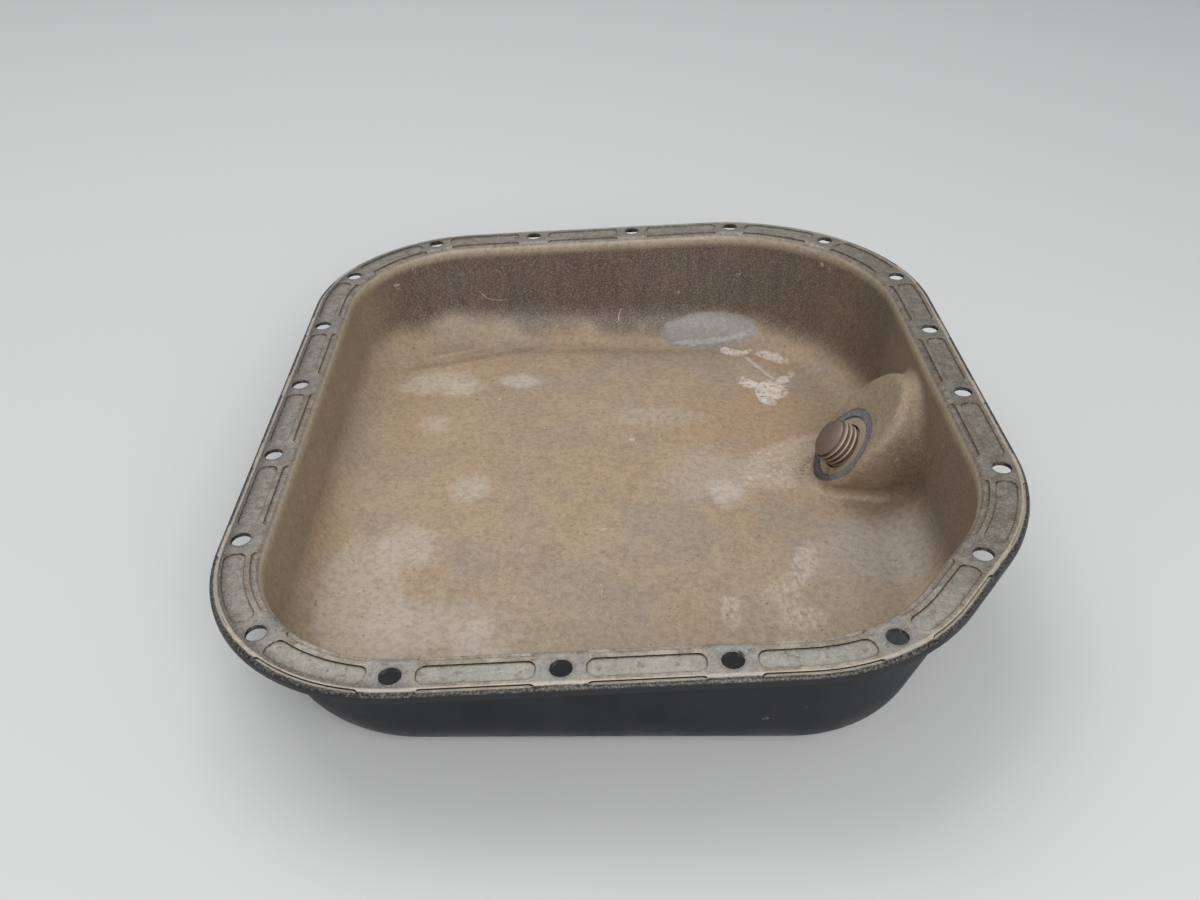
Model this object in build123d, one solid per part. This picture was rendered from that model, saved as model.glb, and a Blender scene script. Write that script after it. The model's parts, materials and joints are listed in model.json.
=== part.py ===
from build123d import *
import math
import os

# Pressed-steel engine oil pan, in millimetres. The sealing face of the flange is the plane z = 0, the
# origin is the middle of the bolt rectangle on it, the sump hangs down along -Z, and the drain is at +X.

# ---- driving dimensions ----------------------------------------------------------------------------
sheet = 1.5                     # thickness of the pressed sheet

bolt_span_x = 275.0             # between the left and right rows of bolt holes
bolt_span_y = 313.0             # between the front and back rows of bolt holes
bolt_count = 20
bolt_hole_d = 7.0               # clears an M6 bolt
first_hole_along = 22.7         # from the back end of the straight left side to its first hole
radius_left = 65.0              # corner radii of the bolt line
radius_back_right = 90.0
radius_cut_front = 63.0         # the two bends of the cut-off front right corner
radius_cut_side = 80.0
corner_cut_x = 56.0             # how far the corner is cut back along X and along Y
corner_cut_y = 68.0

flange_out = 8.0                # bolt line to the outermost edge of the rolled lip
flange_in = 9.0                 # bolt line to the inner face of the wall, at the top
lip_depth = 3.6                 # sealing face to the lower edge of the turned-down lip
lip_bend = 2.2                  # outer bend radius where the flange turns down into the lip
neck_bend = 3.6                 # radius of the bend from the flange into the wall, on the inside

panel_width = 7.6               # sealant panel stamped between two bolt pads
panel_gap = 7.7                 # bolt hole centre to the end of a panel
panel_drop = 0.55               # how far a panel is stamped below the sealing face
panel_corner = 3.0
rail_width = 1.9                # raised rail on each side of a panel
step_drop = 0.7                 # how far the strips outside the rails are stamped down

sump_depth = 56.0               # sealing face to the underside of the floor, in the middle
floor_slope = 3.9               # degrees that the floor falls towards the drain
wall_draft = 3.0                # degrees that the walls lean in towards the floor
floor_radius = 20.0             # outer radius from wall to floor

drain_from_side = 39.4          # right row of bolts to the middle of the drain seat, on its inner face
drain_from_front = 167.9        # front row of bolts to the middle of the drain seat
drain_down = 43.5               # sealing face to the middle of the drain seat
drain_angle = 38.0              # degrees that the drain axis rises as it enters the sump
pocket_top = 39.0               # drain to the upper end of the drawn pocket, up its flat seat
pocket_back = 2.0               # middle of the oval pocket, behind the drain
pocket_fall = 12.0              # degrees that the pocket falls as it runs out through the wall
pocket_rim = 2.4                # bend radius inside the pocket, at its flat seat
pocket_mouth = 5.5              # bend radius where the pocket runs into wall and floor

thread_d = 20.0                 # M20 drain thread, major diameter
thread_clearance = 0.05         # radial running clearance between plug and nut
nut_radius = 16.5               # weld nut on the outside of the seat
nut_thick = 5.0
nut_room = 1.5                  # flat seat left round the nut, before the pocket's bend
nut_collar_radius = 15.0        # collar of the nut that passes through the sheet
nut_collar_proud = 1.0          # how far the collar stands inside the sump
nut_lead = 0.8                  # chamfer at the ends of the nut
weld_gap = 0.02                 # radial, between the collar and the hole in the sheet

gasket_thick = 1.5
gasket_radius = 13.5
gasket_edge = 0.4               # chamfer of the washer's edges
gasket_clearance = 0.2          # radial, between gasket bore and thread
plug_inside = 9.5               # plug end above the inner face of the seat
plug_end_chamfer = 1.2
plug_flange_radius = 13.8
plug_flange_thick = 2.5
plug_flange_edge = 0.5
plug_hex = 17.0                 # across flats
plug_head = 7.0                 # height of the hex beyond the flange
plug_head_chamfer = 0.8

# ---- derived ---------------------------------------------------------------------------------------
half_x = bolt_span_x / 2
half_y = bolt_span_y / 2
drain_x = half_x - drain_from_side
drain_y = drain_from_front - half_y
reach = bolt_span_x + bolt_span_y       # longer than anything here
wall_depth = sump_depth + half_x * math.tan(math.radians(floor_slope)) + floor_radius
rail_edge = panel_width / 2 + rail_width        # bolt line to the outer edge of a rail
nut_face = sheet + nut_thick                    # outer face of the nut, from the inner face of the seat
plug_seat = nut_face + gasket_thick             # underside of the plug's flange
pocket_low = nut_radius + nut_room + pocket_rim         # drain to the lower end of the pocket
# +Z runs out of the pan along the drain, and +X up the seat, which keeps the seams of round faces there.
drain_axis = Location((drain_x, drain_y, -drain_down), (0, 90 + drain_angle, 0)) * Rot(0, 0, 180)


def bolt_line():
    """The closed line through the bolt hole centres, which starts at the back end of the left side."""
    corners = [
        (-half_x, -half_y),
        (half_x - corner_cut_x, -half_y),
        (half_x, -half_y + corner_cut_y),
        (half_x, half_y),
        (-half_x, half_y),
    ]
    radii = [radius_left, radius_cut_front, radius_cut_side, radius_back_right, radius_left]
    return FilletPolyline(*corners, radius=radii, close=True)


line = bolt_line()
bolt_pitch = line.length / bolt_count


def outline(grow):
    """The plan outline, moved out from the bolt line by grow (in where it is negative)."""
    return offset(make_face(line), amount=grow)


def along(distance, sideways=0.0):
    """A point at a distance along the bolt line, moved sideways out of the pan."""
    share = (distance / line.length) % 1.0
    run = line.tangent_at(share)
    return line.position_at(share) + Vector(run.Y, -run.X) * sideways


def bolt_centre(index):
    return along(first_hole_along + index * bolt_pitch)


def strips(low, high, drop, corner):
    """The flat strips between the bolt pads, from low to high outside the bolt line, each drop deep."""
    band = outline(high - corner) - outline(low + corner)
    wide = flange_out + flange_in
    made = []
    for index in range(bolt_count):
        start = first_hole_along + index * bolt_pitch + panel_gap + corner
        end = start + bolt_pitch - 2 * (panel_gap + corner)
        sector = [along(start, -wide), along(start, wide), along(end, wide), along(end, -wide)]
        core = band & make_face(Polyline(sector, close=True))
        made.append(extrude(offset(core, amount=corner), amount=-drop))
    return made


def below_floor(raised):
    """Everything under the sloping floor plane, moved up from the underside of the floor by raised."""
    top = Pos(0, 0, -sump_depth) * Rot(0, floor_slope, 0)
    return top * Pos(0, 0, raised - reach / 2) * Box(2 * reach, 2 * reach, reach)


def pocket(grow, inward, rim):
    """The oval drain pocket, drawn in to a flat seat, with a top that runs out nearly level."""
    lean = drain_angle - pocket_fall
    half_height = (pocket_top + pocket_low) / 2 * math.cos(math.radians(lean))
    plan = Ellipse(half_height + grow, pocket_low + pocket_back + grow)
    middle = Pos((pocket_top - pocket_low) / 2, -pocket_back, 0) * Rot(0, lean, 0)
    bar = middle * extrude(plan, amount=2 * sump_depth, both=True)
    behind_seat = Box(reach, reach, reach, align=(Align.CENTER, Align.CENTER, Align.MIN))
    bar = bar & (Pos(0, 0, -inward) * behind_seat)
    return drain_axis * fillet(bar.edges().group_by(Axis.Z)[0], rim)


def sump_block(inset):
    """The sump as a solid block, inset from the outer face of the sheet."""
    block = extrude(outline(sheet - flange_in - inset), amount=-wall_depth, taper=wall_draft)
    block = block - below_floor(inset)
    block = fillet(block.faces().sort_by(Axis.Z)[0].edges(), floor_radius - inset)
    tool = pocket(inset, inset, pocket_rim + inset)
    cut = block - tool
    mouth = [e for e in cut.edges() if lies_on(e, tool) and lies_on(e, block)]
    return fillet(mouth, pocket_mouth - inset)


def lies_on(edge, solid):
    """Whether an edge runs along the surface of a solid."""
    spots = [Vertex(*edge.position_at(share)) for share in (0.13, 0.5, 0.87)]
    return all(min(face.distance_to(spot) for face in solid.faces()) < 0.001 for spot in spots)


def pan():
    """One pressed sheet: flange with stamped panels and turned-down lip, walls, floor and drain seat."""
    flange = extrude(outline(flange_out), amount=-lip_depth)
    flange = fillet(flange.edges().group_by(Axis.Z)[-1], lip_bend)
    under = extrude(outline(flange_out - sheet), amount=-lip_depth)
    under = Pos(0, 0, -sheet) * fillet(under.edges().group_by(Axis.Z)[-1], lip_bend - sheet)
    body = (flange - under) + sump_block(0)
    body = body - sump_block(sheet)
    body = fillet([e for e in body.edges() if is_neck(e)], neck_bend)

    panels = strips(-panel_width / 2, panel_width / 2, panel_drop, panel_corner)
    outer_steps = strips(rail_edge, flange_out + panel_corner, step_drop, rail_width)
    inner_steps = strips(-flange_in - panel_corner, -rail_edge, step_drop, rail_width)
    bolt_holes = [Pos(*bolt_centre(index)) * Cylinder(bolt_hole_d / 2, 4 * sheet)
                  for index in range(bolt_count)]
    body = body + [Pos(0, 0, -sheet) * panel for panel in panels]
    body = body - panels - outer_steps - inner_steps - bolt_holes
    return body - drain_axis * Cylinder(nut_collar_radius + weld_gap, 4 * sheet)


def is_neck(edge):
    """Whether an edge lies on the sealing face, at the mouth of the sump."""
    spot = edge.position_at(0.5)
    return abs(spot.Z) < 0.001 and abs(spot.X) < half_x - 1 and abs(spot.Y) < half_y - 1


def disc(radius, start, length):
    """A round disc on the drain axis, which starts that far outside the inner face of the seat."""
    return Pos(0, 0, start) * Cylinder(radius, length, align=(Align.CENTER, Align.CENTER, Align.MIN))


def drain_nut():
    """Weld nut: a flange on the outside of the seat and a collar up through the sheet."""
    flange = disc(nut_radius, sheet, nut_thick)
    collar = disc(nut_collar_radius, -nut_collar_proud, sheet + nut_collar_proud)
    nut = flange + collar - Cylinder(thread_d / 2 + thread_clearance, reach)
    ends = nut.edges().filter_by(GeomType.CIRCLE).group_by(Axis.Z)
    return drain_axis * chamfer(ends[0] + ends[-1], nut_lead)


def drain_gasket():
    """Crush washer between the nut and the flange of the plug."""
    washer = disc(gasket_radius, nut_face, gasket_thick)
    washer = washer - Cylinder(thread_d / 2 + gasket_clearance, reach)
    return drain_axis * chamfer(washer.edges().filter_by(GeomType.CIRCLE), gasket_edge)


def drain_plug():
    """Drain plug: threaded shank with a flat end, flange and hexagon head."""
    shank = disc(thread_d / 2, -plug_inside, plug_seat + plug_inside)
    shank = chamfer(shank.edges().group_by(Axis.Z)[0], plug_end_chamfer)
    flange = disc(plug_flange_radius, plug_seat, plug_flange_thick)
    flange = chamfer(flange.edges().filter_by(GeomType.CIRCLE), plug_flange_edge)
    head_end = plug_flange_thick + plug_head
    hexagon = extrude(RegularPolygon(plug_hex / 2, 6, major_radius=False), amount=head_end)
    round_bar = Cylinder(
        plug_hex / math.sqrt(3), head_end, align=(Align.CENTER, Align.CENTER, Align.MIN))
    round_bar = chamfer(round_bar.edges().group_by(Axis.Z)[-1], plug_head_chamfer)
    head = Pos(0, 0, plug_seat) * (hexagon & round_bar)
    return drain_axis * (shank + flange + head)


os.makedirs("parts", exist_ok=True)
for name, make in {
    "oil_pan": pan,
    "drain_nut": drain_nut,
    "drain_gasket": drain_gasket,
    "drain_plug": drain_plug,
}.items():
    export_step(make(), f"parts/{name}.step")
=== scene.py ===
import json
import math
import bmesh
import bpy
from mathutils import Matrix, Vector
from mathutils.bvhtree import BVHTree
from mathutils.geometry import convex_hull_2d

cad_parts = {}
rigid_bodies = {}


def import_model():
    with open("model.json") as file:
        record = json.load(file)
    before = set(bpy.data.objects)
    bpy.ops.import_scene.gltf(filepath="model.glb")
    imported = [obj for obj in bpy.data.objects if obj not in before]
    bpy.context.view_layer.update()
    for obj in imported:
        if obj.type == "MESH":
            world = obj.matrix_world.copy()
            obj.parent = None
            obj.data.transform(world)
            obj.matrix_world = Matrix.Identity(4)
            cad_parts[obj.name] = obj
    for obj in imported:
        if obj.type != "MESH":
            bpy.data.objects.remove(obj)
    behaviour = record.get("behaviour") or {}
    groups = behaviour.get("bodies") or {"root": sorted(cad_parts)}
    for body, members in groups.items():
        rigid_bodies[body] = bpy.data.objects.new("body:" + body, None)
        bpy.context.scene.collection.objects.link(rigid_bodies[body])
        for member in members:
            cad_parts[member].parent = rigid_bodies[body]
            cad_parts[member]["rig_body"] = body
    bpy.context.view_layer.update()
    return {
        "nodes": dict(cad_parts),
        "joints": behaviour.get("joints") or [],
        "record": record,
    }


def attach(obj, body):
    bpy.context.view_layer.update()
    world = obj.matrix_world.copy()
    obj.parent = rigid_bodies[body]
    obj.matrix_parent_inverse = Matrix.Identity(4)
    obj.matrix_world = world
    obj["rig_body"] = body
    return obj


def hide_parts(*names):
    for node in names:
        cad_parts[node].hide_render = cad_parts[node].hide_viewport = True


# An engine oil pan, pressed from one steel sheet: baked oil varnish inside, bare stained steel on the
# flange, black enamel outside, and a threaded drain plug in the seat at the right. Units are metres.

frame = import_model()
nodes = frame["nodes"]

MM = 0.001

# ---- what the frame gives --------------------------------------------------------------------------
plug_turn = next(joint for joint in frame["joints"] if joint["name"] == "plug_turn")
drain_seat = Vector(plug_turn["pos_m"])             # middle of the seat, on the outer face of the sheet
drain_out = Vector(plug_turn["axis"]).normalized()  # out of the pan
mounts = {mount["name"]: mount for mount in frame["record"]["mounts"]}
rest_point = Vector(mounts["floor_underside"]["pos_m"])
rest_up = -Vector(mounts["floor_underside"]["axis"]).normalized()
hole_radius = mounts["left_bolts_inner"]["dims"]["hole_r_mm"] * MM

# The drain's own axes: local Z runs out of the pan, and local X runs up the seat.
drain_up = Vector((-drain_out.z, 0, drain_out.x))
drain_turn = Matrix((drain_up, drain_out.cross(drain_up), drain_out)).transposed()

# ---- sizes that only the looks need ----------------------------------------------------------------
SHEET = 1.5 * MM                # thickness of the pressed sheet
NUT_COLLAR = 15.0 * MM          # radius of the collar in the hole of the seat
THREAD_RADIUS = 10.0 * MM
THREAD_PITCH = 2.5 * MM
THREAD_DEPTH = 1.25 * MM
THREAD_CREST = 0.80             # from a groove's middle to its crest, as a share of half the pitch
THREAD_ROOT = 0.18              # the groove's flat root, as a share of that way
FLANK_BULGE = 0.9               # under 1, the thread's flanks bulge a little
PLUG_INSIDE = 9.5 * MM          # from drain_seat in to the end of the plug
PLUG_CHAMFER = 1.6 * MM
PLUG_SHOULDER = 8.0 * MM        # from drain_seat out to the underside of the plug's flange
PAN_CREASE = 28                 # degrees between two facets from which their edge is sharp
PLUG_CREASE = 35
NO_LIMIT = 1e9                  # half height in millimetres of a patch that goes through all heights


def colour(code):
    """An sRGB hex colour as linear RGBA."""
    parts = [int(code[i:i + 2], 16) / 255 for i in (1, 3, 5)]
    return [c / 12.92 if c <= 0.04045 else ((c + 0.055) / 1.055) ** 2.4 for c in parts] + [1.0]


def per_mm(size):
    """The texture scale that gives a pattern of this size in millimetres."""
    return 1000.0 / size


def add(tree, kind, inputs=None, **settings):
    """Adds a node with its settings and its inputs, each a value or a socket to link."""
    made = tree.nodes.new("ShaderNode" + kind)
    for name, value in settings.items():
        setattr(made, name, value)
    for name, value in (inputs or {}).items():
        socket = made.inputs[name]
        if isinstance(value, bpy.types.NodeSocket):
            tree.links.new(value, socket)
        else:
            socket.default_value = value
    return made


# ---- camera, floor and light -----------------------------------------------------------------------
def place_camera():
    """The camera, in front of the pan and above it, and rolled a little about its line of sight."""
    place = Vector((-2.8, -394.8, 247.9)) * MM
    forward = Vector((-0.015427, 0.817145, -0.576226)).normalized()
    up = Vector((0.049652, 0.576209, 0.815793))
    right = forward.cross(up).normalized()
    up = right.cross(forward)
    data = bpy.data.cameras.new("camera")
    data.sensor_width = 36.0
    data.lens = 33.564
    data.clip_start = 0.01
    camera = bpy.data.objects.new("camera", data)
    turn = Matrix((right, up, -forward)).transposed()
    camera.matrix_world = Matrix.Translation(place) @ turn.to_4x4()
    bpy.context.scene.collection.objects.link(camera)
    bpy.context.scene.camera = camera


def matte_board():
    """Matte pale board: an even floor that takes a soft shadow."""
    material = bpy.data.materials.new("matte_board")
    material.use_nodes = True
    shader = material.node_tree.nodes["Principled BSDF"]
    shader.inputs["Base Color"].default_value = colour("#cfcfce")
    shader.inputs["Roughness"].default_value = 0.7
    return material


def make_floor():
    """The floor that the pan stands on: its own floor slopes, so the flange stands tilted over it."""
    size = 6.0
    tools = bmesh.new()
    bmesh.ops.create_grid(tools, x_segments=1, y_segments=1, size=size)
    mesh = bpy.data.meshes.new("floor")
    tools.to_mesh(mesh)
    tools.free()
    mesh.materials.append(matte_board())
    floor = bpy.data.objects.new("floor", mesh)
    lean = Vector((0, 0, 1)).rotation_difference(rest_up).to_matrix().to_4x4()
    floor.matrix_world = Matrix.Translation(rest_point) @ lean
    bpy.context.scene.collection.objects.link(floor)


def soft_box(name, place, aim, width, height, watts):
    """A soft box light at a place, turned to its aim."""
    data = bpy.data.lights.new(name, "AREA")
    data.shape = "RECTANGLE"
    data.size = width
    data.size_y = height
    data.energy = watts
    light = bpy.data.objects.new(name, data)
    line = Vector(aim) - Vector(place)
    light.matrix_world = Matrix.Translation(place) @ line.to_track_quat("-Z", "Y").to_matrix().to_4x4()
    bpy.context.scene.collection.objects.link(light)


def make_light():
    """One wide soft box over the back of the pan, a weaker one from the front, and an even sky."""
    soft_box("key_light", (-0.30, 0.50, 1.35), (0, 0, 0), 1.4, 1.0, 9.0)
    soft_box("front_fill", (0.35, -1.25, 0.85), (0, 0, 0), 1.2, 1.0, 18)
    world = bpy.data.worlds.new("even_sky")
    world.use_nodes = True
    sky = world.node_tree.nodes["Background"]
    sky.inputs["Color"].default_value = colour("#f4f6fa")
    sky.inputs["Strength"].default_value = 0.46
    bpy.context.scene.world = world


# ---- patterns --------------------------------------------------------------------------------------
def new_material(name):
    """A material with one shader: its node tree, that shader, and the object coordinates."""
    material = bpy.data.materials.new(name)
    material.use_nodes = True
    tree = material.node_tree
    return material, tree, tree.nodes["Principled BSDF"], add(tree, "TexCoord").outputs["Object"]


def ramp(tree, value, low, high):
    """A soft step from 0 at low to 1 at high, or down where high is the smaller one."""
    ends = {"Value": value, "From Min": min(low, high), "From Max": max(low, high)}
    if high < low:
        ends.update({"To Min": 1.0, "To Max": 0.0})
    return add(tree, "MapRange", ends, interpolation_type="SMOOTHSTEP").outputs[0]


def grain(tree, at, size, detail=3.0, stretch=(1, 1, 1), seed=0.0):
    """Random values round 0.5, in a pattern of this size in millimetres, stretched along its axes."""
    shift = (seed, seed * 0.7, seed * 0.3)
    moved = add(tree, "Mapping", {"Vector": at, "Location": shift, "Scale": stretch})
    inputs = {"Vector": moved.outputs[0], "Scale": per_mm(size), "Detail": detail, "Roughness": 0.6}
    return add(tree, "TexNoise", inputs).outputs[0]


def patches(tree, at, size, cover, soft=0.05, **pattern):
    """Random patches of this size in millimetres: the higher the cover, the more of the surface."""
    edge = 0.5 - cover
    return ramp(tree, grain(tree, at, size, **pattern), edge - soft, edge + soft)


def times(tree, *values):
    """The product of masks and numbers."""
    result = values[0]
    for value in values[1:]:
        result = add(tree, "Math", {0: result, 1: value}, operation="MULTIPLY").outputs[0]
    return result


def layered(tree, under, layers):
    """Lays colours over one another, each where its mask is 1."""
    for mask, shade in layers:
        shade = colour(shade) if isinstance(shade, str) else shade
        under = add(tree, "Mix", {0: mask, 6: under, 7: shade}, data_type="RGBA").outputs[2]
    return under


def summed(tree, base, parts):
    """A number plus each mask times its amount, kept from 0 to 1."""
    for mask, amount in parts:
        inputs = {0: mask, 1: amount, 2: base}
        base = add(tree, "Math", inputs, operation="MULTIPLY_ADD", use_clamp=True).outputs[0]
    return base


def fray_pattern(tree, at, size):
    """The ragged pattern of this size in millimetres, made once in each material and then shared."""
    name = f"fray_{size}"
    if name not in tree.nodes:
        inputs = {"Vector": at, "Scale": per_mm(size), "Detail": 5.0, "Roughness": 0.6}
        add(tree, "TexNoise", inputs, name=name)
    return tree.nodes[name].outputs[0]


def blot(tree, at, place, size, turn=0.0, ragged=0.5, soft=0.25, strength=1.0, fray=5):
    """One patch seen from above, by its middle and half sizes in millimetres, its turn in degrees, how
    ragged its edge is and how soft. The fray is the size of the ragged edge's pattern. It goes through
    all heights, unless the middle and the sizes have a third value."""
    inputs = {
        "Vector": at,
        "Location": [value * MM for value in (*place, 0)[:3]],
        "Rotation": (0, 0, math.radians(turn)),
        "Scale": [value * MM for value in (*size, NO_LIMIT)[:3]],
    }
    inside = add(tree, "Mapping", inputs, vector_type="TEXTURE").outputs[0]
    away = add(tree, "VectorMath", {0: inside}, operation="LENGTH").outputs["Value"]
    frayed = fray_pattern(tree, at, fray)
    edge = add(tree, "Math", {0: frayed, 1: 2.0 * ragged, 2: away}, operation="MULTIPLY_ADD").outputs[0]
    return times(tree, ramp(tree, edge, 1 + ragged + soft, 1 + ragged - soft), strength)


def stroke(tree, at, start, end, width, **edge):
    """A straight patch from one spot to another, of a half width in millimetres."""
    run, rise = end[0] - start[0], end[1] - start[1]
    middle = ((start[0] + end[0]) / 2, (start[1] + end[1]) / 2)
    size = (math.hypot(run, rise) / 2, width)
    return blot(tree, at, middle, size, turn=math.degrees(math.atan2(rise, run)), **edge)


def relief(tree, parts, edge_radius=None):
    """A normal from heights, each with its depth in millimetres, over edges rounded by a radius."""
    normal = None
    if edge_radius is not None:
        normal = add(tree, "Bevel", {"Radius": edge_radius}, samples=6).outputs[0]
    for height, depth in parts:
        inputs = {"Height": height, "Strength": 1.0, "Distance": depth * MM}
        if normal:
            inputs["Normal"] = normal
        normal = add(tree, "Bump", inputs).outputs[0]
    return normal


# ---- the pan's inside and flange -------------------------------------------------------------------
def hole_middles(mesh):
    """The middles of the bolt holes: every facet of a hole's wall points at the same spot."""
    upright = 0.05              # the largest Z in the normal of a hole's wall
    same_hole = 0.4 * MM        # the largest distance between the spots of one hole
    fewest = 20                 # fewer facets than this are no hole
    found = []
    for facet in mesh.polygons:
        if abs(facet.normal.z) > upright or not -SHEET < facet.center.z < 0:
            continue
        spot = facet.center + facet.normal * hole_radius
        near = [group for group in found if (group[0] - spot.xy).length < same_hole]
        if near:
            near[0].append(spot.xy)
        else:
            found.append([spot.xy])
    groups = [group for group in found if len(group) > fewest]
    return [sum(group, Vector((0, 0))) / len(group) for group in groups]


def nearest_hole(tree, at, holes):
    """The distance to the nearest bolt hole's axis, in metres."""
    flat = add(tree, "VectorMath", {0: at, 1: (1, 1, 0)}, operation="MULTIPLY").outputs[0]
    nearest = 1.0
    for hole in holes:
        ends = {0: flat, 1: (hole.x, hole.y, 0)}
        away = add(tree, "VectorMath", ends, operation="DISTANCE").outputs["Value"]
        nearest = add(tree, "Math", {0: nearest, 1: away}, operation="MINIMUM").outputs[0]
    return nearest


def drain_coordinates(tree, at):
    """Coordinates in the drain's own axes, from the middle of the seat."""
    inputs = {"Vector": at, "Location": drain_seat, "Rotation": drain_turn.to_euler()}
    return add(tree, "Mapping", inputs, vector_type="TEXTURE").outputs[0]


def from_drain_axis(tree, local):
    """The distance from the drain's axis, in metres."""
    flat = add(tree, "VectorMath", {0: local, 1: (1, 1, 0)}, operation="MULTIPLY").outputs[0]
    return add(tree, "VectorMath", {0: flat}, operation="LENGTH").outputs["Value"]


def broad_stains(tree, at):
    """Heat and oil leave broad warm and grey fields and a tide line, partly painted shade along the foot of
    the back wall, which the eye reads as age.
    """
    layers = [
        (times(tree, patches(tree, at, 70, 0.02, soft=0.10), 0.60), "#a98e6e"),
        (times(tree, patches(tree, at, 34, -0.02, soft=0.10, seed=2.0), 0.55), "#96897c"),
        (times(tree, patches(tree, at, 9, -0.03, soft=0.12, seed=4.0), 0.30), "#8f7b66"),
    ]
    for spot, size, turn, ragged, soft, strength, fray, shade in [
        ((62, 60), (44, 26), 0, 0.6, 0.5, 0.50, 25, "#ab8a67"),       # orange tint behind the drain
        ((-60, 40), (45, 50), 0, 0.6, 0.6, 0.30, 25, "#a58c6c"),
        ((-105, 70), (14, 50), 0, 0.6, 0.6, 0.40, 25, "#a3875f"),
        ((80, -88), (38, 42), 0, 0.5, 0.6, 0.55, 25, "#b6a58d"),
        ((104, -40), (30, 22), 0, 0.5, 0.5, 0.60, 14, "#ada49d"),     # grey bloom in front of the drain
        ((-20, -95), (70, 30), 0, 0.6, 0.6, 0.30, 25, "#a99b86"),
        ((-104, -78), (17, 44), 8, 0.35, 0.18, 0.65, 14, "#b9ac9b"),  # pale sheet at the front left
        # the tide line here and just below: partly dirt, partly painted shade where the floor meets the
        # back wall's fillet
        ((-78, 115), (34, 2.0), 20, 0.9, 0.7, 0.55, 14, "#77644f"),   # tide line
        ((0, 124), (70, 2.4), 1, 1.0, 0.8, 0.40, 14, "#84715c"),
        ((-88, 120), (20, 1.2), 24, 0.8, 0.5, 0.50, 8, "#bfae97"),
    ]:
        edge = {"turn": turn, "ragged": ragged, "soft": soft, "strength": strength, "fray": fray}
        layers.append((blot(tree, at, spot, size, **edge), shade))
    return layers


def wall_stains(tree, at, place, normal):
    """The splash line: above it the varnish is thick and dark, most of all on the back wall. The walls'
    darkening against the floor, the back wall's most of all, is partly that varnish and partly painted
    shade.
    """
    wall = ramp(tree, normal.outputs["Z"], 0.80, 0.30)
    wavy = grain(tree, at, 30, detail=4.0, seed=7.0)
    inputs = {0: wavy, 1: 22 * MM, 2: place.outputs["Z"]}
    level = add(tree, "Math", inputs, operation="MULTIPLY_ADD").outputs[0]
    leftward = add(tree, "Math", {0: place.outputs["X"], 1: 0.0}, operation="MINIMUM").outputs[0]
    level = add(tree, "Math", {0: leftward, 1: 0.12, 2: level}, operation="MULTIPLY_ADD").outputs[0]
    high = ramp(tree, level, -45 * MM, -31 * MM)
    at_back = ramp(tree, place.outputs["Y"], 100 * MM, 140 * MM)
    at_right = ramp(tree, place.outputs["X"], 105 * MM, 124 * MM)
    corner = blot(tree, at, (132, 105), (46, 52), ragged=0.5, soft=0.5, fray=25)
    mottled = patches(tree, at, 16, 0.06, soft=0.16, seed=9.0)
    runs = patches(tree, at, 7, 0.02, soft=0.12, stretch=(1, 1, 0.25), seed=10.0)
    reddish = blot(tree, at, (-12, 150), (20, 20), ragged=0.6, soft=0.5, strength=0.45, fray=14)
    return [
        # darker walls: partly thick varnish, partly painted shade
        (times(tree, wall, high, 0.45), "#75624f"),
        (times(tree, wall, at_right, 0.50), "#584c40"),
        (times(tree, wall, corner, 0.60), "#4f433a"),
        (times(tree, high, at_back, 0.90), "#41352f"),
        (times(tree, high, at_back, mottled, 0.45), "#544842"),
        (times(tree, high, at_back, reddish), "#4a332b"),
        (times(tree, wall, runs, 0.15), "#85735f"),
    ]


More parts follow.
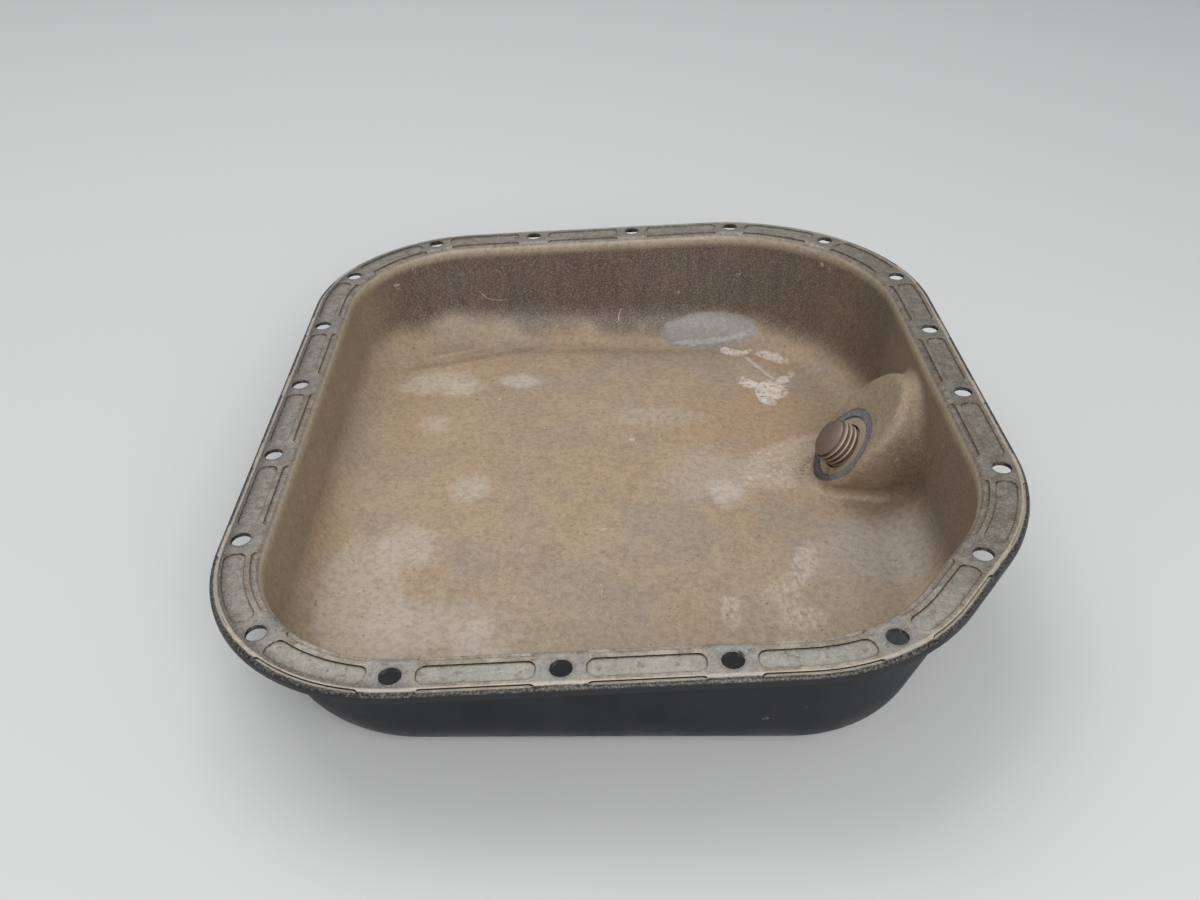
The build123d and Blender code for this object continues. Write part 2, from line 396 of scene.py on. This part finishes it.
def residue(tree, at):
    """Pale dried residue: soft spots, a grey sealant smudge, a torn scuff and wiped smears."""
    layers = []
    for spot, size, strength, ragged in [
        ((-92, 92), (16, 11), 0.65, 0.9), ((-78, 86), (9, 6), 0.55, 0.8), ((-50, 94), (9, 6), 0.75, 0.7),
        ((-90, 53), (7, 7), 0.45, 0.6), ((-69, 3), (8, 10), 0.50, 0.5), ((44, 1), (8, 9), 0.80, 0.3),
        ((38, 14), (19, 20), 0.30, 0.6), ((-92, -38), (12, 14), 0.55, 0.9),
        ((-78, -85), (24, 14), 0.55, 1.0), ((18, 62), (22, 8), 0.25, 0.8), ((-58, -98), (9, 14), 0.60, 1.0),
    ]:
        shape = blot(tree, at, spot, size, ragged=ragged, soft=0.45, strength=strength, fray=8)
        layers.append((shape, "#c0b4a7"))
    smudge = blot(tree, at, (52, 141, -53), (27, 14, 9), turn=3, ragged=0.15, soft=0.12, strength=0.80,
                  fray=8)
    smudge_edge = blot(tree, at, (50, 134), (22, 1.6), turn=5, ragged=0.7, soft=0.5, strength=0.70, fray=8)
    layers += [(smudge, "#8b8b8b"), (smudge_edge, "#adadaf")]
    torn = patches(tree, at, 2.2, 0.10, soft=0.03, seed=27.0)
    for start, end, width, strength in [
        ((55, 127), (66, 123), 3.2, 1.0), ((64, 123), (72, 126), 1.6, 1.0),
        ((74, 125), (89, 114), 3.4, 0.75), ((66, 123), (80, 97), 1.0, 0.85),
        ((62, 94), (72, 91), 3.0, 0.95), ((63, 99), (72, 90), 1.8, 0.9),
        ((79, 96), (77, 79), 6.5, 1.0), ((70, 90), (72, 76), 2.2, 0.9), ((70, 91), (82, 92), 3.2, 0.9),
        ((81, 95), (88, 99), 3.0, 0.9), ((88, 104), (92, 103), 3.0, 0.6), ((70, 77), (78, 75), 2.6, 0.8),
    ]:
        shape = stroke(tree, at, start, end, width, ragged=0.9, soft=0.25, strength=strength, fray=3)
        layers.append((times(tree, shape, torn), "#d6cbc0"))
    dragged = patches(tree, at, 4, 0.08, soft=0.15, stretch=(0.4, 1.6, 1), seed=28.0)
    layers.append((times(tree, stroke(tree, at, (62, 118), (78, 97), 8, ragged=0.3, soft=0.3, fray=5),
                         dragged, 0.45), "#a9a197"))
    streaks = patches(tree, at, 3, 0.02, soft=0.12, stretch=(1.6, 0.8, 1), seed=3.0)
    for spot, size, turn, strength in [
        ((72, -46), (4.5, 12), -15, 0.75), ((65, -58), (9, 4), 40, 0.60), ((60, -66), (7, 8), 10, 0.55),
        ((66, -79), (9, 7), 20, 0.85), ((38, -76), (4, 9), -10, 0.60), ((62, -92), (7, 3), 0, 0.60),
    ]:
        shape = blot(tree, at, spot, size, turn=turn, ragged=0.8, soft=0.3, strength=strength, fray=5)
        layers.append((times(tree, shape, streaks), "#cabfb1"))
    return layers


def small_marks(tree, at):
    """Specks of baked carbon, thickest beside the drain, and a few pale hair scratches."""
    specks = patches(tree, at, 2.2, -0.235, soft=0.02, detail=1.0, seed=5.0)
    beside_drain = blot(tree, at, (76, 20), (13, 10), ragged=0.6, soft=0.6, fray=5)
    close_specks = patches(tree, at, 1.4, -0.06, soft=0.04, detail=1.0, seed=6.0)
    bent = add(tree, "TexNoise", {"Vector": at, "Scale": per_mm(25), "Detail": 1.0}).outputs[1]
    warped = add(tree, "Mix", {0: 0.03, 4: at, 5: bent}, data_type="VECTOR").outputs[1]
    inputs = {"Vector": warped, "Scale": per_mm(22)}
    cells = add(tree, "TexVoronoi", inputs, feature="DISTANCE_TO_EDGE").outputs[0]
    hairs = times(tree, ramp(tree, cells, 0.010, 0.004), patches(tree, at, 12, -0.14, soft=0.02, seed=8.0))
    return [
        (times(tree, specks, 0.6), "#5d4c3d"),
        (times(tree, close_specks, beside_drain, 0.75), "#54463a"),
        (times(tree, hairs, 0.6), "#cfc3b4"),
    ]


def drain_stains(tree, at, local, away):
    """Welding the nut has blued the steel round it, painted nearly black at the bottom as the plug's
    shadow, and a painted lighter arc brightens the front flank of the boss round the seat.
    """
    parts = add(tree, "SeparateXYZ", {0: local})
    inputs = {0: grain(tree, at, 3, seed=1.0), 1: 2.2 * MM, 2: away}
    ragged_away = add(tree, "Math", inputs, operation="MULTIPLY_ADD").outputs[0]
    near_seat = ramp(tree, parts.outputs["Z"], -0.4 * MM, -1.0 * MM)
    blued = times(tree, ramp(tree, ragged_away, 20.3 * MM, 19.5 * MM), near_seat)
    blue_edge = times(tree, ramp(tree, ragged_away, 18.3 * MM, 19.5 * MM), blued)
    fumes = times(tree, ramp(tree, ragged_away, 25.0 * MM, 20.5 * MM), near_seat)
    glints = patches(tree, at, 1.6, -0.09, soft=0.04, seed=29.0)
    below = ramp(tree, parts.outputs["X"], -7 * MM, -15 * MM)
    flecks = patches(tree, at, 2.4, -0.11, soft=0.03, seed=30.0)
    # painted light: a lighter arc on the front flank of the boss round the seat, with real pale flecks in
    # it
    painted_light_arc = times(tree, ramp(tree, away, 24 * MM, 28 * MM), ramp(tree, away, 42 * MM, 38 * MM),
                ramp(tree, parts.outputs["X"], 6 * MM, -4 * MM),
                ramp(tree, parts.outputs["Y"], 12 * MM, 2 * MM))
    upper = times(tree, ramp(tree, parts.outputs["X"], 12 * MM, 26 * MM),
                  ramp(tree, away, 46 * MM, 40 * MM))
    return [
        (times(tree, fumes, 0.35), "#7d6a59"),
        (times(tree, upper, 0.55), "#85735d"),
        (times(tree, painted_light_arc, 0.60), "#c0ae97"),
        (times(tree, painted_light_arc, flecks, 0.6), "#d0c3b1"),
        (times(tree, blued, 0.95), "#65676a"),
        (times(tree, blued, glints, 0.55), "#8d9194"),
        (times(tree, blue_edge, 0.80), "#45494f"),
        # painted shadow of the plug on the lower side of the blued ring
        (times(tree, blued, below, 0.85), "#24262c"),
    ]


def flange_stains(tree, at, place, hole_away, edge_away):
    """The bare flange: pads round the holes, raised rails, stamped panels and stepped edges, told by
    height, with rust and grime on top, and painted shade over all of it but the front side."""
    z = place.outputs["Z"]
    raised = ramp(tree, z, -0.35 * MM, -0.15 * MM)
    stepped = ramp(tree, z, -0.62 * MM, -0.66 * MM)
    round_hole = ramp(tree, hole_away, 9.8 * MM, 7.0 * MM)
    rail = times(tree, raised, ramp(tree, hole_away, 7.0 * MM, 10.0 * MM))
    wet = patches(tree, at, 24, 0.04, soft=0.10, seed=11.0)
    brown = patches(tree, at, 7, 0.03, soft=0.08, seed=12.0)
    rust = patches(tree, at, 3.0, -0.10, soft=0.05, seed=13.0)
    rub = patches(tree, at, 5, -0.02, soft=0.10, seed=14.0)
    # painted shade: the flange is darkened everywhere but along its front side, which stays the lit side
    painted_shade_behind_front = ramp(tree, place.outputs["Y"], -150 * MM, -110 * MM)
    grime = times(tree, ramp(tree, edge_away, 8.5 * MM, 2.5 * MM),
                  ramp(tree, place.outputs["X"], -30 * MM, -100 * MM))
    oily_right = ramp(tree, place.outputs["X"], 95 * MM, 125 * MM)
    return layered(tree, colour("#9b978f"), [
        (times(tree, wet, 0.5), "#86847b"),
        (times(tree, raised, round_hole, 0.75), "#84817e"),
        (times(tree, rail, 0.65), "#ab9f8f"),
        (times(tree, stepped, 0.55), "#a39989"),
        (times(tree, painted_shade_behind_front, 0.50), "#5f5a51"),
        (times(tree, oily_right, 0.60), "#564d44"),
        (times(tree, rail, brown, 0.65), "#6a5947"),
        (times(tree, stepped, brown, 0.50), "#67574a"),
        (times(tree, rust, 0.60), "#5d4837"),
        (times(tree, rub, 0.25), "#a7a29a"),
        (times(tree, raised, ramp(tree, hole_away, 5.2 * MM, 3.8 * MM), 0.5), "#5c5853"),
        (times(tree, grime, 0.80), "#322f2e"),
        (blot(tree, at, (31.7, -153.9), (1.5, 0.6), turn=-60, ragged=0.2, soft=0.2, fray=1), "#1b1a1a"),
    ])


def oiled_steel(holes):
    """Pressed steel with baked oil varnish inside and a bare, stained sealing flange."""
    material, tree, shader, at = new_material("oil_varnished_steel")
    place = add(tree, "SeparateXYZ", {0: at})
    normal = add(tree, "SeparateXYZ", {0: add(tree, "TexCoord").outputs["Normal"]})
    local = drain_coordinates(tree, at)
    drain_away = from_drain_axis(tree, local)
    edge_away = add(tree, "Attribute", attribute_name="edge_away").outputs["Fac"]
    hole_away = nearest_hole(tree, at, holes)
    z = place.outputs["Z"]
    inside = layered(tree, colour("#a8947a"), [
        *broad_stains(tree, at),
        *wall_stains(tree, at, place, normal),
        *residue(tree, at),
        *small_marks(tree, at),
        *drain_stains(tree, at, local, drain_away),
    ])

    # Painted shade, with some dirt, darkens the corners of the stamping where ambient occlusion finds them;
    # painted shade darkens the walls of the bolt holes; and a painted highlight lightens the bend from the
    # flange down into the pan.
    on_flange = ramp(tree, z, -2.2 * MM, -0.9 * MM)
    # painted highlight along the bend from the flange down into the pan
    neck_highlight = times(tree, ramp(tree, z, -7.5 * MM, -3.0 * MM), ramp(tree, z, -0.2 * MM, -0.9 * MM))
    open_sky = add(tree, "AmbientOcclusion", {"Distance": 1.6 * MM}, samples=8).outputs["AO"]
    # painted shade with some dirt: darker where ambient occlusion finds the corners of the stamping
    corners = times(tree, on_flange, ramp(tree, open_sky, 0.94, 0.62))
    # painted shade inside the bolt holes
    hole_wall_shade = times(tree, ramp(tree, hole_away, hole_radius + 0.25 * MM, hole_radius + 0.05 * MM),
                      ramp(tree, z, -6 * MM, -4 * MM))
    base = layered(tree, inside, [
        (times(tree, neck_highlight, 0.80), "#b0a28c"),
        (on_flange, flange_stains(tree, at, place, hole_away, edge_away)),
        (times(tree, corners, 0.85), "#453b33"),
        (hole_wall_shade, "#2a2725"),
    ])

    # Black enamel laps over the turned-down lip. Just above it, a lighter strip is worn to bare steel and
    # also carries a painted highlight along the flange's outer edge.
    inputs = {0: grain(tree, at, 3, seed=15.0), 1: 0.6 * MM, 2: edge_away}
    worn = add(tree, "Math", inputs, operation="MULTIPLY_ADD").outputs[0]
    lip = times(tree, ramp(tree, worn, 2.0 * MM, 1.4 * MM), ramp(tree, z, -6 * MM, -5 * MM))
    # worn bare steel together with a painted highlight along the flange's outer strip
    bare = times(tree, ramp(tree, worn, 1.6 * MM, 2.2 * MM), ramp(tree, worn, 3.6 * MM, 2.8 * MM),
                 on_flange)
    base = layered(tree, base, [(times(tree, bare, 0.75), "#bfb4a5"), (lip, "#17181c")])

    fine = grain(tree, at, 0.8, detail=2.0, seed=16.0)
    sand = grain(tree, at, 2.6, detail=3.0, seed=17.0)
    dents = grain(tree, at, 28, detail=2.0, seed=18.0)
    base = layered(tree, base, [
        (times(tree, ramp(tree, fine, 0.40, 0.70), 0.20), "#d9cdbd"),
        (times(tree, ramp(tree, sand, 0.60, 0.32), 0.26), "#57493b"),
    ])
    tree.links.new(base, shader.inputs["Base Color"])
    rough = summed(tree, 0.46, [(sand, 0.14), (on_flange, -0.06), (lip, -0.06)])
    tree.links.new(rough, shader.inputs["Roughness"])
    tree.links.new(summed(tree, 0.10, [(on_flange, 0.22)]), shader.inputs["Metallic"])

    # Rounded edges, most of all where the sheet is drawn in to the drain seat.
    pocket_edge = times(tree, ramp(tree, drain_away, 60 * MM, 50 * MM),
                        ramp(tree, drain_away, 21 * MM, 24 * MM))
    inputs = {0: pocket_edge, 1: 5.0 * MM, 2: 0.45 * MM}
    rounding = add(tree, "Math", inputs, operation="MULTIPLY_ADD").outputs[0]
    normals = relief(tree, [(dents, 0.35), (sand, 0.05), (fine, 0.025)], rounding)
    tree.links.new(normals, shader.inputs["Normal"])
    return material


def black_enamel():
    """Satin black stoving enamel: faint orange peel, grey dust and a few chips down to brown steel."""
    material, tree, shader, at = new_material("black_enamel")
    dust = patches(tree, at, 18, 0.02, soft=0.14, seed=21.0)
    chips = patches(tree, at, 4.5, -0.25, soft=0.015, seed=22.0)
    streaks = patches(tree, at, 10, -0.02, soft=0.12, stretch=(1, 1, 0.2), seed=23.0)
    base = layered(tree, colour("#0f1115"), [
        (times(tree, dust, 0.22), "#303338"),
        (times(tree, streaks, 0.30), "#242325"),
        (times(tree, chips, 0.8), "#5f5145"),
    ])
    tree.links.new(base, shader.inputs["Base Color"])
    tree.links.new(summed(tree, 0.40, [(dust, 0.18), (chips, 0.2)]), shader.inputs["Roughness"])
    shader.inputs["Coat Weight"].default_value = 0.08
    shader.inputs["Specular IOR Level"].default_value = 0.35
    peel = grain(tree, at, 1.8, detail=1.0, seed=24.0)
    waves = grain(tree, at, 22, detail=2.0, seed=25.0)
    tree.links.new(relief(tree, [(waves, 0.30), (peel, 0.03)], 0.3 * MM), shader.inputs["Normal"])
    return material


def store_edge_distance(mesh):
    """Stores for each corner of the mesh how far it lies inside the pan's convex outline from above."""
    shortest = 0.01 * MM        # a shorter side of the outline has no sure direction
    spots = [vertex.co.xy for vertex in mesh.vertices]
    outline = [spots[index] for index in convex_hull_2d(spots)]
    sides = []
    for start, end in zip(outline, outline[1:] + outline[:1]):
        if (end - start).length < shortest:
            continue
        inward = (end - start).orthogonal().normalized()
        inward = inward if inward.dot(start) < 0 else -inward
        sides.append((start, inward))
    inside = [min((spot - start).dot(inward) for start, inward in sides) for spot in spots]
    layer = mesh.attributes.new("edge_away", "FLOAT", "POINT")
    layer.data.foreach_set("value", inside)


def upper_side(mesh):
    """Says for each facet whether it faces one of a few spots in the sump or in the air above it, with
    nothing between them."""
    targets = [Vector(spot) * MM for spot in (
        (0, 0, 150), (60, 100, 150), (60, -100, 150), (-60, 0, 150), (-60, 100, 150), (-60, -100, 150),
        (0, 0, -20), (80, -50, -30), (100, -60, -15), (60, 60, -20), (110, 60, -15), (50, 11, -45))]
    # The nut and the plug close the hole in the seat.
    corners, facets = [], []
    for name in ("oil_pan", "drain_nut", "drain_plug"):
        piece = nodes[name].data
        facets += [[len(corners) + index for index in facet.vertices] for facet in piece.polygons]
        corners += [vertex.co for vertex in piece.vertices]
    solids = BVHTree.FromPolygons(corners, facets)
    lift = 0.05 * MM            # off the facet, so that a line doesn't meet it
    seen = []
    for facet in mesh.polygons:
        start = facet.center + facet.normal * lift
        lines = [target - start for target in targets if (target - start).dot(facet.normal) > 0]
        seen.append(any(solids.ray_cast(start, line.normalized())[0] is None for line in lines))
    return seen


def make_pan():
    """The pan: the pressed sheet, varnished and bare on its upper side and enamelled outside."""
    mesh = nodes["oil_pan"].data.copy()
    mesh.materials.clear()
    mesh.materials.append(oiled_steel(hole_middles(mesh)))
    mesh.materials.append(black_enamel())
    store_edge_distance(mesh)
    for facet, is_upper in zip(mesh.polygons, upper_side(mesh)):
        facet.material_index = 0 if is_upper else 1
    mesh.shade_smooth()
    mesh.set_sharp_from_angle(angle=math.radians(PAN_CREASE))
    piece = bpy.data.objects.new("pan_sheet", mesh)
    bpy.context.scene.collection.objects.link(piece)
    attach(piece, nodes["oil_pan"]["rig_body"])
    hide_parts("oil_pan")


# ---- the drain -------------------------------------------------------------------------------------
def turned_steel():
    """Turned steel of the weld nut: fine rings, oil in the grooves, a painted highlight on the collar's rim
    and painted shade down in the hole round the plug.
    """
    material, tree, shader, at = new_material("turned_nut_steel")
    local = drain_coordinates(tree, at)
    away = from_drain_axis(tree, local)
    phase = times(tree, away, 2 * math.pi / (0.45 * MM))
    rings = add(tree, "Math", {0: phase}, operation="SINE").outputs[0]
    film = patches(tree, at, 6, 0.02, soft=0.12, seed=31.0)
    # painted highlight along the collar's outer edge
    rim = ramp(tree, away, NUT_COLLAR - 0.8 * MM, NUT_COLLAR - 0.2 * MM)
    # painted shade in the gap between the nut and the plug
    bore_shade = ramp(tree, away, 11.2 * MM, 10.4 * MM)
    inside = ramp(tree, add(tree, "SeparateXYZ", {0: local}).outputs["Z"], 0.8 * MM, 0.2 * MM)
    below = ramp(tree, add(tree, "SeparateXYZ", {0: local}).outputs["X"], -4 * MM, -12 * MM)
    base = layered(tree, colour("#bdae99"), [
        (times(tree, film, 0.45), "#9f8f7a"),
        (times(tree, rim, inside, 0.80), "#d8ccbb"),
        (times(tree, below, film, 0.5), "#3b332c"),
        (times(tree, bore_shade, 0.9), "#211c19"),
    ])
    tree.links.new(base, shader.inputs["Base Color"])
    shader.inputs["Metallic"].default_value = 0.45
    tree.links.new(summed(tree, 0.36, [(film, 0.16)]), shader.inputs["Roughness"])
    tree.links.new(relief(tree, [(rings, 0.02), (grain(tree, at, 1.2), 0.03)], 0.15 * MM),
                   shader.inputs["Normal"])
    return material


def plug_steel():
    """Plated plug steel: brown film on the faced end, a painted highlight on the thread crests, grooves
    darkened partly by oil and partly as painted shade, and black oil in them at the bottom.
    """
    material, tree, shader, at = new_material("oiled_plug_steel")
    local = drain_coordinates(tree, at)
    away = from_drain_axis(tree, local)
    depth = add(tree, "SeparateXYZ", {0: local}).outputs["Z"]
    on_thread = times(tree, ramp(tree, depth, -PLUG_INSIDE + 0.2 * MM, -PLUG_INSIDE + 0.6 * MM),
                      ramp(tree, depth, PLUG_SHOULDER, PLUG_SHOULDER - 0.5 * MM))
    # darker grooves: partly oil, partly painted shade
    groove = times(tree, on_thread, ramp(tree, away, THREAD_RADIUS - 0.35 * MM, THREAD_RADIUS - 1.05 * MM))
    below = ramp(tree, add(tree, "SeparateXYZ", {0: local}).outputs["X"], 1 * MM, -7 * MM)
    oil = times(tree, on_thread, below)
    # painted highlight on the thread crests
    crest = times(tree, on_thread, ramp(tree, away, THREAD_RADIUS - 0.30 * MM, THREAD_RADIUS - 0.05 * MM))
    film = patches(tree, at, 5, 0.05, soft=0.14, seed=41.0)
    facing_marks = grain(tree, local, 1.0, detail=2.0, stretch=(3.2, 0.25, 1), seed=42.0)
    base = layered(tree, colour("#86766a"), [
        (times(tree, film, 0.55), "#76675a"),
        (times(tree, ramp(tree, facing_marks, 0.55, 0.75), 0.30), "#9c8b7b"),
        (times(tree, crest, 0.80), "#c9b5a0"),
        (times(tree, groove, 0.75), "#5d4c3f"),
        (times(tree, groove, oil), "#17130f"),
        (times(tree, oil, 0.35), "#2a231d"),
    ])
    tree.links.new(base, shader.inputs["Base Color"])
    shader.inputs["Metallic"].default_value = 0.45
    tree.links.new(summed(tree, 0.34, [(film, 0.14), (groove, 0.1)]), shader.inputs["Roughness"])
    tree.links.new(relief(tree, [(facing_marks, 0.05), (grain(tree, at, 0.9), 0.02)], 0.12 * MM),
                   shader.inputs["Normal"])
    return material


def washer_aluminium():
    """Crushed soft aluminium of the sealing washer, dull, with a thin film of old oil."""
    material, tree, shader, at = new_material("washer_aluminium")
    film = patches(tree, at, 4, 0.0, soft=0.14, seed=51.0)
    base = layered(tree, colour("#a9a9a6"), [(times(tree, film, 0.5), "#867f74")])
    tree.links.new(base, shader.inputs["Base Color"])
    shader.inputs["Metallic"].default_value = 0.8
    tree.links.new(summed(tree, 0.36, [(film, 0.2)]), shader.inputs["Roughness"])
    tree.links.new(relief(tree, [(grain(tree, at, 0.7), 0.02)]), shader.inputs["Normal"])
    return material


def thread_radius(turn, along):
    """The radius of the plug's surface at an angle, that far from its inner end."""
    phase = (along / THREAD_PITCH + turn / (2 * math.pi)) % 1.0
    way = min(abs(phase - 0.5) * 2 / THREAD_CREST, 1.0)
    rise = max(0.0, (way - THREAD_ROOT) / (1 - THREAD_ROOT)) ** FLANK_BULGE
    radius = THREAD_RADIUS - THREAD_DEPTH * (1 - rise)
    start = THREAD_RADIUS - PLUG_CHAMFER + along
    end = PLUG_INSIDE + PLUG_SHOULDER - along
    run_out = THREAD_RADIUS - THREAD_DEPTH * min(1.0, end / THREAD_PITCH)
    return max(min(radius, start), run_out) if end < THREAD_PITCH else min(radius, start)


def make_plug():
    """The plug: the frame's flange and hexagon head, with a real thread in place of the plain shank."""
    around = 96
    pitch_rows = 18
    slack = 0.02 * MM
    rows = int((PLUG_INSIDE + PLUG_SHOULDER) / THREAD_PITCH * pitch_rows)
    to_world = Matrix.Translation(drain_seat) @ drain_turn.to_4x4()
    to_drain = to_world.inverted()
    tools = bmesh.new()
    tools.from_mesh(nodes["drain_plug"].data)
    shank = []
    for face in tools.faces:
        spots = [to_drain @ vertex.co for vertex in face.verts]
        if all(spot.z < PLUG_SHOULDER + slack and spot.xy.length < THREAD_RADIUS + slack for spot in spots):
            shank.append(face)
    bmesh.ops.delete(tools, geom=shank, context="FACES")
    rings = []
    for row in range(rows + 1):
        along = (PLUG_INSIDE + PLUG_SHOULDER) * row / rows
        ring = []
        for step in range(around):
            turn = 2 * math.pi * step / around
            radius = thread_radius(turn, along)
            spot = Vector((radius * math.cos(turn), radius * math.sin(turn), along - PLUG_INSIDE))
            ring.append(tools.verts.new(to_world @ spot))
        rings.append(ring)
    for near, far in zip(rings, rings[1:]):
        for step in range(around):
            following = (step + 1) % around
            tools.faces.new((near[step], near[following], far[following], far[step]))
    tools.faces.new(list(reversed(rings[0])))
    tools.faces.new(rings[-1])
    mesh = bpy.data.meshes.new("drain_plug_threaded")
    tools.normal_update()
    tools.to_mesh(mesh)
    tools.free()
    mesh.materials.clear()
    mesh.materials.append(plug_steel())
    mesh.shade_smooth()
    mesh.set_sharp_from_angle(angle=math.radians(PLUG_CREASE))
    piece = bpy.data.objects.new("drain_plug_threaded", mesh)
    bpy.context.scene.collection.objects.link(piece)
    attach(piece, nodes["drain_plug"]["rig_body"])
    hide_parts("drain_plug")


def dress_nut_and_washer():
    """The nut and the washer keep the frame's own meshes and get their metals."""
    for name, material in (("drain_nut", turned_steel()), ("drain_gasket", washer_aluminium())):
        mesh = nodes[name].data
        mesh.materials.clear()
        mesh.materials.append(material)


place_camera()
make_floor()
make_light()
make_pan()
make_plug()
dress_nut_and_washer()

bpy.context.scene.view_settings.view_transform = "Standard"
